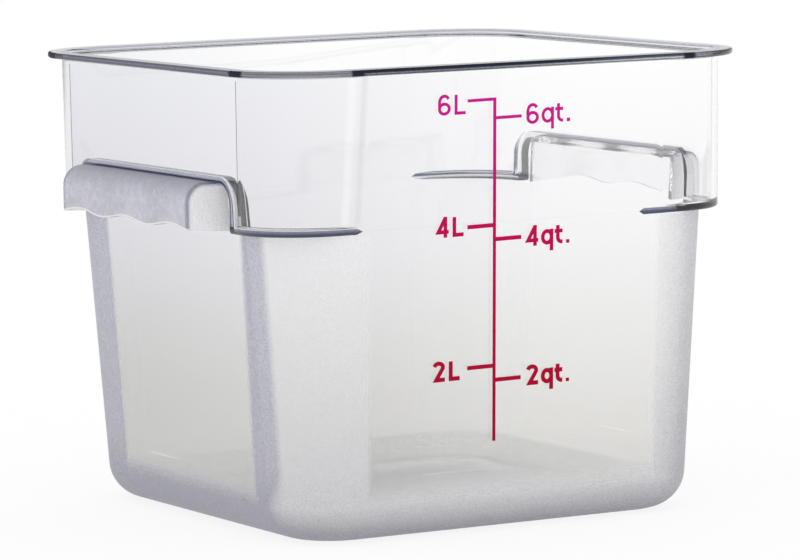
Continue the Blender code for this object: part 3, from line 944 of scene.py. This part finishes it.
def plate_marks(spot):
    """Where a ledge or an arch is seen edge on and gets painted shade, and how far up its edge a
    spot lies.
    """
    arch_rise = outline_distance(spot.deep, spot.z, RECESS_HALF, RECESS_TOP, RECESS_CORNER)
    above = arch_rise.smaller(spot.z - LEDGE_HEIGHT)
    reach = spot.x.larger(-PLATE_LEFT_SHARE * spot.x) - PLATE_BACK_LESS * spot.y.ramp(*MIDDLE)
    start, full = PLATE_TAPER
    taper = reach.add("ShaderNodeMapRange", None,
                      {"Value": reach, "From Min": start, "From Max": full})
    half = taper * (WALL / 2)
    plate = (half - abs(above - WALL / 2)).ramp(*PLATE_EDGE)
    shell = spot.on_band.ramp(*BAND_SKIN_START) * (1.0 - spot.on_band.ramp(*BAND_SKIN_END))
    return plate * shell, above * (1 / WALL)


def plate_painted_shade(spot, rise):
    """Painted shade: dark navy from outside, grey from within, and dark again low at the back."""
    outside = rise.ramp(*PLATE_TOP_SHARES).mix(NAVY, PLATE_TOP)
    upright = spot.above_ledge()
    side = spot.wide.ramp(*BAND_SIDE) * upright
    outside = (side * rise.ramp(*PLATE_SIDE_SHARES)).mix(outside, PLATE_SIDE)
    ledge = rise.ramp(*PLATE_BACK_SHARES) * (1.0 - upright)
    stile = upright * (1.0 - spot.z.ramp(*STILE_TOP))
    dark = (ledge + stile) * spot.y.ramp(*FAR)
    within = dark.mix(PLATE_WITHIN, PLATE_BACK)
    return spot.inner.mix(outside, within)


def rim_marks(spot):
    """Where the flange is seen edge on, and how far up its edge a spot lies."""
    edge = outline_distance(spot.wide, spot.deep, RIM_HALF, RIM_HALF, RIM_CORNER)
    rise = (spot.z - (HEIGHT - RIM_THICKNESS)) * (1 / RIM_THICKNESS)
    return edge.ramp(*RIM_SKIN) * spot.at_rim(), rise


def rim_painted_shade(spot, rise):
    """Painted shade and light: violet along the sides, navy over pale at the front; and how much
    of it is opaque.
    """
    upper = rise.ramp(*RIM_UPPER_SHARES)
    side = upper.mix(NAVY, RIM_SIDE_TOP)
    foot = spot.x.ramp(*RIM_PALER).mix(RIM_FRONT_LEFT, RIM_FRONT_RIGHT)
    front = upper.mix(foot, RIM_FRONT_TOP)
    corner = rise.shades(RIM_CORNER_SHADES)
    past_x = spot.wide - (RIM_HALF - RIM_CORNER)
    past_y = spot.deep - (RIM_HALF - RIM_CORNER)
    round_corner = past_y.ramp(*RIM_CORNER_START)
    straight = round_corner * (1.0 - past_x.ramp(*RIM_FRONT_END))
    colour = straight.mix(round_corner.mix(side, corner), front)
    tip = spot.y.ramp(*TIP_FAR) * (1.0 - spot.x.ramp(*TIP_LEFT))
    side_knot = past_y.near(*SIDE_KNOT) * (1.0 - spot.x.ramp(*SIDE_KNOT_END))
    knot = past_x.near(*FRONT_KNOT).larger(side_knot).larger(tip)
    colour = knot.mix(colour, RIM_KNOT_SHADE)
    faded = 1.0 - RIM_FAINTER_SHARE * spot.x.ramp(*RIM_FAINTER)
    opaque = knot.larger(straight * upper * faded) * spot.outer
    return spot.inner.mix(colour, RIM_WITHIN), opaque


def flange_mark(spot):
    """The flange's own width, outside the band, on its far sides, where it gets painted grey
    shade.
    """
    width = spot.on_band.ramp(*FLANGE_WIDTH)
    return width * spot.at_rim() * (spot.x + spot.y).ramp(*FAR)


def crease_shade_mark(spot):
    """The fine painted line of shade where the band's sides meet its rounded corners."""
    line = (spot.deep - (spot.band_front - spot.band_corner)).near(*CREASE)
    side = (spot.wide - spot.band_half).ramp(*CREASE_SKIN)
    level = spot.z.between(LEDGE_HEIGHT + WALL, HEIGHT - 2 * RIM_THICKNESS, CREASE_FADE)
    return line * side * level * spot.outer


def upright_strip(spot, ends):
    """An upright strip of the band's front beside its left rounded corner, for a painted highlight
    and a painted shade.
    """
    past_x = -spot.x - (spot.band_half - spot.band_corner)
    front = (-spot.y).ramp(*AT_WALL)
    return past_x.between(*ends, STRIP_FADE) * front * spot.above_ledge()


def write_lines(spot):
    """The faint straight lines moulded low on three walls."""
    def line(along, ends, height):
        upright = spot.z.near(height, LINE_HALF_WIDTH, 2 * LINE_HALF_WIDTH)
        return along.between(*ends, LINE_FADE) * upright
    left = line(spot.y, LEFT_LINE, SIDE_LINE_HEIGHT) * (-spot.x).ramp(*AT_WALL)
    right = line(spot.y, RIGHT_LINE, SIDE_LINE_HEIGHT) * spot.x.ramp(*AT_WALL)
    front = line(spot.x, FRONT_LINE, FRONT_LINE_HEIGHT) * (-spot.y).ramp(*AT_WALL)
    return left.larger(right).larger(front) * spot.skin


def tub_plastic():
    """Clear plastic, polished on its walls and frosted round its lower corners and base."""
    material, shader, wire = plastic("tub_plastic")
    spot = Spot(wire)
    value = grain(wire, GRAIN)
    cover = frost_cover(spot)
    colour = wall_tint_and_shade(spot)
    # A painted highlight strip and a painted grey shade strip beside the band's left corner
    highlight_strip = upright_strip(spot, HIGHLIGHT_STRIP) * HIGHLIGHT_STRIP_SHARE
    colour = highlight_strip.mix(colour, WHITE)
    shade_strip = upright_strip(spot, SHADE_STRIP) * SHADE_STRIP_SHARE
    colour = shade_strip.mix(colour, SHADE_STRIP_COLOUR)
    colour = write_lines(spot).mix(colour, LINE_COLOUR)
    off_floor = spot.off_floor()
    # Painted shade on the base edge seen from within
    low = 1.0 - spot.z.ramp(*FOOT_WITHIN_TOP)
    foot = low * off_floor * spot.inner * spot.skin
    colour = foot.mix(colour, speckled(FOOT_SHADE_WITHIN, value, SPECKS_FOOT_WITHIN))
    floor = (1.0 - spot.z.ramp(*FLOOR_TOP)) * (1.0 - off_floor)
    colour = floor.mix(colour, speckled(FLOOR_TINT, value, SPECKS_FLOOR))
    colour = (cover * spot.outer).mix(colour, frost_colour_and_shade(spot, value))
    # Painted grey shade on the flange's far sides
    colour = flange_mark(spot).mix(colour, FLANGE_SHADE)
    # Painted dark lines of shade where the ledges and arches are seen edge on
    plate, rise = plate_marks(spot)
    colour = plate.mix(colour, plate_painted_shade(spot, rise))
    # Painted shade and light along the flange's edge
    rim, rise = rim_marks(spot)
    rim_shade, opaque = rim_painted_shade(spot, rise)
    colour = rim.mix(colour, rim_shade)
    # A painted dark line of shade where the band's sides meet its corners
    colour = crease_shade_mark(spot).mix(colour, CREASE_SHADE)
    colour.lead(shader.inputs["Base Color"])
    frosted_finish(spot, cover).lead(shader.inputs["Roughness"])
    lay_frost(wire, shader, spot, colour, value, cover, rim * opaque)
    return material


def grip_plastic():
    """The grips' frosted skirt, with painted shade on its flutes, under and along its root and at
    its ends, and a painted highlight along its waved edge.
    """
    material, shader, wire = plastic("grip_plastic")
    spot = Spot(wire)
    value = grain(wire, GRAIN)
    swing = (spot.y * (2 * math.pi / WAVE_PITCH)).cosine()
    # Painted shade on the flutes, swinging with the waves
    patchy = grain(wire, PATCHES) + WAVE_SHADE * swing
    skirt = patchy.ramp(*PATCH_GRAIN).mix(SKIRT_DARKER, SKIRT_PALER)
    # Painted grey shade under the root
    under_root = spot.z.ramp(*UNDER_ROOT) * UNDER_ROOT_SHARE
    skirt = under_root.mix(skirt, UNDER_ROOT_SHADE)
    skirt = speckled(skirt, value, SPECKS_SKIRT)
    # Painted dark shade along the root
    root = (1.0 - spot.wide.ramp(*ROOT_WIDTH)) * spot.z.ramp(*ROOT_TOP)
    colour = root.mix(skirt, ROOT_SHADE)
    # Painted shade on the rounded ends
    end = spot.deep.between(*SKIRT_END) * SKIRT_END_SHARE
    colour = end.mix(colour, SKIRT_END_SHADE)
    # A painted highlight along the waved lower edge
    lower = LEDGE_HEIGHT + GRIP_EDGE_RISE + WAVE_DEPTH / 2 + swing * (WAVE_DEPTH / 2)
    colour = (spot.z - lower).between(*LOWER_EDGE).mix(colour, LOWER_EDGE_HIGHLIGHT)
    colour = spot.inner.mix(colour, GRIP_WITHIN)
    colour.lead(shader.inputs["Base Color"])
    frosted_finish(spot, 1.0).lead(shader.inputs["Roughness"])
    lay_frost(wire, shader, spot, colour, value, 1.0)
    return material


def grip_end_plastic():
    """The grips' flat ends, more finely frosted and milkier than their skirts, with painted shade
    round their edge.
    """
    material, shader, wire = plastic("grip_end_plastic")
    spot = Spot(wire)
    value = grain(wire, GRAIN)
    round_end = outline_distance(spot.wide, spot.z, GRIP_OUT, GRIP_TOP, GRIP_ROUND)
    # Painted shade round the end's rounded edge
    edge = round_end.ramp(*END_EDGE) * END_EDGE_SHARE
    colour = speckled(edge.mix(END_COLOUR, END_EDGE_SHADE), value, SPECKS_END)
    colour.lead(shader.inputs["Base Color"])
    frosted_finish(spot, 1.0).lead(shader.inputs["Roughness"])
    lay_frost(wire, shader, spot, colour, value, END_COVER)
    return material


def ink():
    """Screen print that runs from magenta at the top to dark red at the foot."""
    material = bpy.data.materials.new("printed_ink")
    material.use_nodes = True
    shader = material.node_tree.nodes["Principled BSDF"]
    shader.inputs["Roughness"].default_value = INK_ROUGHNESS
    shader.inputs["Specular IOR Level"].default_value = INK_GLOSS
    height = place(Wire(material.node_tree))[2] * (1 / HEIGHT)
    height.shades(INK_SHADES).lead(shader.inputs["Base Color"])
    return material


bpy.context.scene.view_settings.view_transform = 'Standard'
make_camera()
make_world()
make_floor()
make_tub()
red = ink()
for name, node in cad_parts.items():
    if name != "container_body":
        node.data.materials.clear()
        node.data.materials.append(red)
